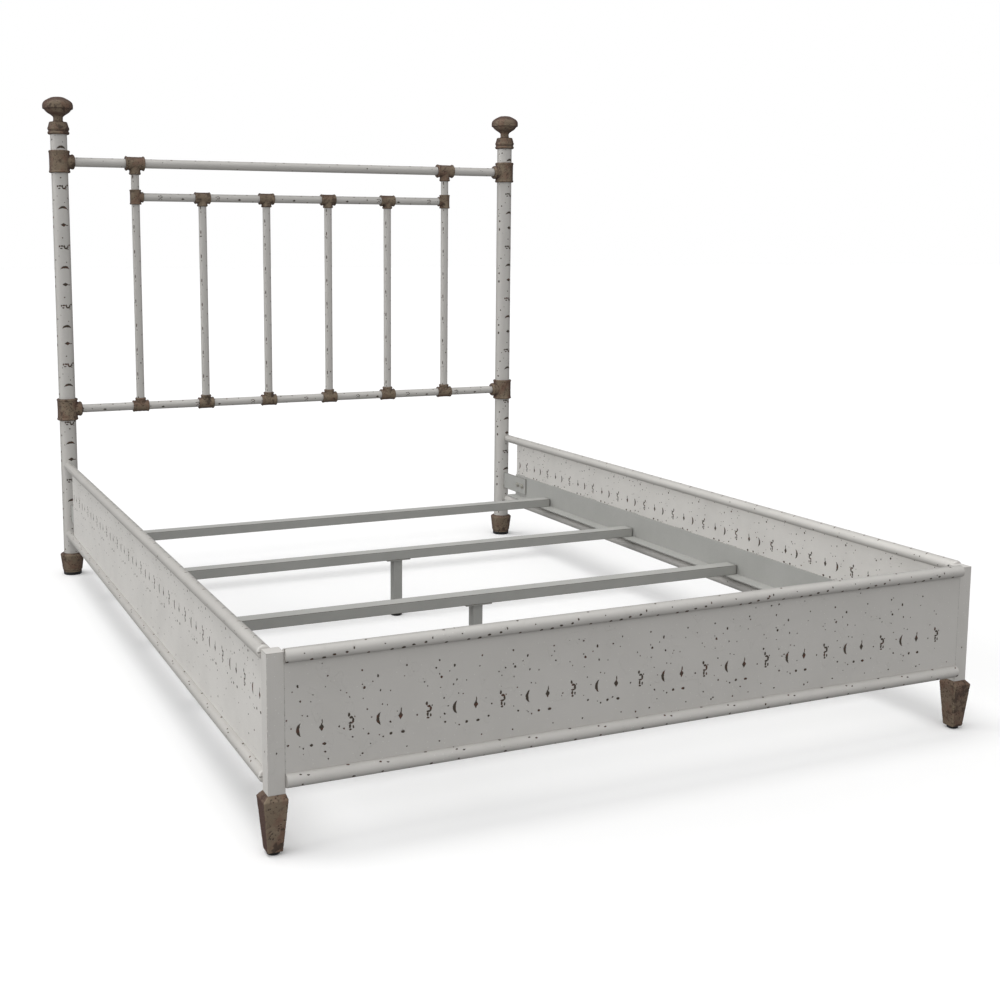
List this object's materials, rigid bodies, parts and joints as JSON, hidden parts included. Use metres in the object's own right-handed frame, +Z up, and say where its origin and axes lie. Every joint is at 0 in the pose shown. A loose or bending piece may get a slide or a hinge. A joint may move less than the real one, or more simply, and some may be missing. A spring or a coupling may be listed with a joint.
{
  "type": "bed frame",
  "caption": "Iron bed frame: round-tube spindle headboard with cast collars and knob finials, a low panelled surround edged with tube beads, steel deck bars and screw glides.",
  "frame": {"origin": "on the floor, under the middle of the whole frame's box", "axes": "+Z up, +Y along the bed towards the headboard, +X to the right seen from the foot"},
  "size_m": [1.637, 2.2188, 1.498],
  "materials": {
    "antique_paint": "aged ivory-white paint, satin, with dark brown chips and specks",
    "rust_bronze_casting": "mottled rusty bronze on sand castings, matt",
    "deck_steel": "plain grey-white powder coat, matt",
    "black_glide": "black moulded nylon",
    "zinc_bolt": "zinc plated"
  },
  "bodies": {
    "frame": {"top_rail": "antique_paint", "second_rail": "antique_paint", "lower_rail": "antique_paint", "foot_panel": "antique_paint", "foot_top_bead": "antique_paint", "foot_bottom_bead": "antique_paint", "spindle_1": "antique_paint", "spindle_2": "antique_paint", "spindle_3": "antique_paint", "spindle_4": "antique_paint", "headboard_post_left": "antique_paint", "inner_upright_left": "antique_paint", "side_panel_left": "antique_paint", "side_top_bead_left": "antique_paint", "side_bottom_bead_left": "antique_paint", "foot_post_left": "antique_paint", "headboard_post_right": "antique_paint", "inner_upright_right": "antique_paint", "side_panel_right": "antique_paint", "side_top_bead_right": "antique_paint", "side_bottom_bead_right": "antique_paint", "foot_post_right": "antique_paint", "lower_rail_tees": "rust_bronze_casting", "spindle_tee_1": "rust_bronze_casting", "spindle_tee_2": "rust_bronze_casting", "spindle_tee_3": "rust_bronze_casting", "spindle_tee_4": "rust_bronze_casting", "post_finial_left": "rust_bronze_casting", "upper_collar_left": "rust_bronze_casting", "lower_collar_left": "rust_bronze_casting", "post_ferrule_left": "rust_bronze_casting", "top_rail_tee_left": "rust_bronze_casting", "upright_tee_left": "rust_bronze_casting", "foot_leg_left": "rust_bronze_casting", "post_finial_right": "rust_bronze_casting", "upper_collar_right": "rust_bronze_casting", "lower_collar_right": "rust_bronze_casting", "post_ferrule_right": "rust_bronze_casting", "top_rail_tee_right": "rust_bronze_casting", "upright_tee_right": "rust_bronze_casting", "foot_leg_right": "rust_bronze_casting", "cross_bar_1": "deck_steel", "cross_bar_2": "deck_steel", "cross_bar_3": "deck_steel", "cross_bar_4": "deck_steel", "centre_leg_1": "deck_steel", "centre_leg_2": "deck_steel", "side_ledge_left": "deck_steel", "head_bracket_left": "deck_steel", "foot_bracket_left": "deck_steel", "side_ledge_right": "deck_steel", "head_bracket_right": "deck_steel", "foot_bracket_right": "deck_steel", "frame_bolts": "zinc_bolt"},
    "head_glide_left": {"head_glide_left": "black_glide"},
    "foot_glide_left": {"foot_glide_left": "black_glide"},
    "head_glide_right": {"head_glide_right": "black_glide"},
    "foot_glide_right": {"foot_glide_right": "black_glide"},
    "centre_glide_1": {"centre_glide_1": "black_glide"},
    "centre_glide_2": {"centre_glide_2": "black_glide"}
  },
  "joints": [
    {"name": "head_glide_left_screw", "type": "slide", "parent": "frame", "child": "head_glide_left", "axis": [0, 0, -1], "range_m": [0, 0.012]},
    {"name": "foot_glide_left_screw", "type": "slide", "parent": "frame", "child": "foot_glide_left", "axis": [0, 0, -1], "range_m": [0, 0.012]},
    {"name": "head_glide_right_screw", "type": "slide", "parent": "frame", "child": "head_glide_right", "axis": [0, 0, -1], "range_m": [0, 0.012]},
    {"name": "foot_glide_right_screw", "type": "slide", "parent": "frame", "child": "foot_glide_right", "axis": [0, 0, -1], "range_m": [0, 0.012]},
    {"name": "centre_glide_1_screw", "type": "slide", "parent": "frame", "child": "centre_glide_1", "axis": [0, 0, -1], "range_m": [0, 0.015]},
    {"name": "centre_glide_2_screw", "type": "slide", "parent": "frame", "child": "centre_glide_2", "axis": [0, 0, -1], "range_m": [0, 0.015]}
  ]
}
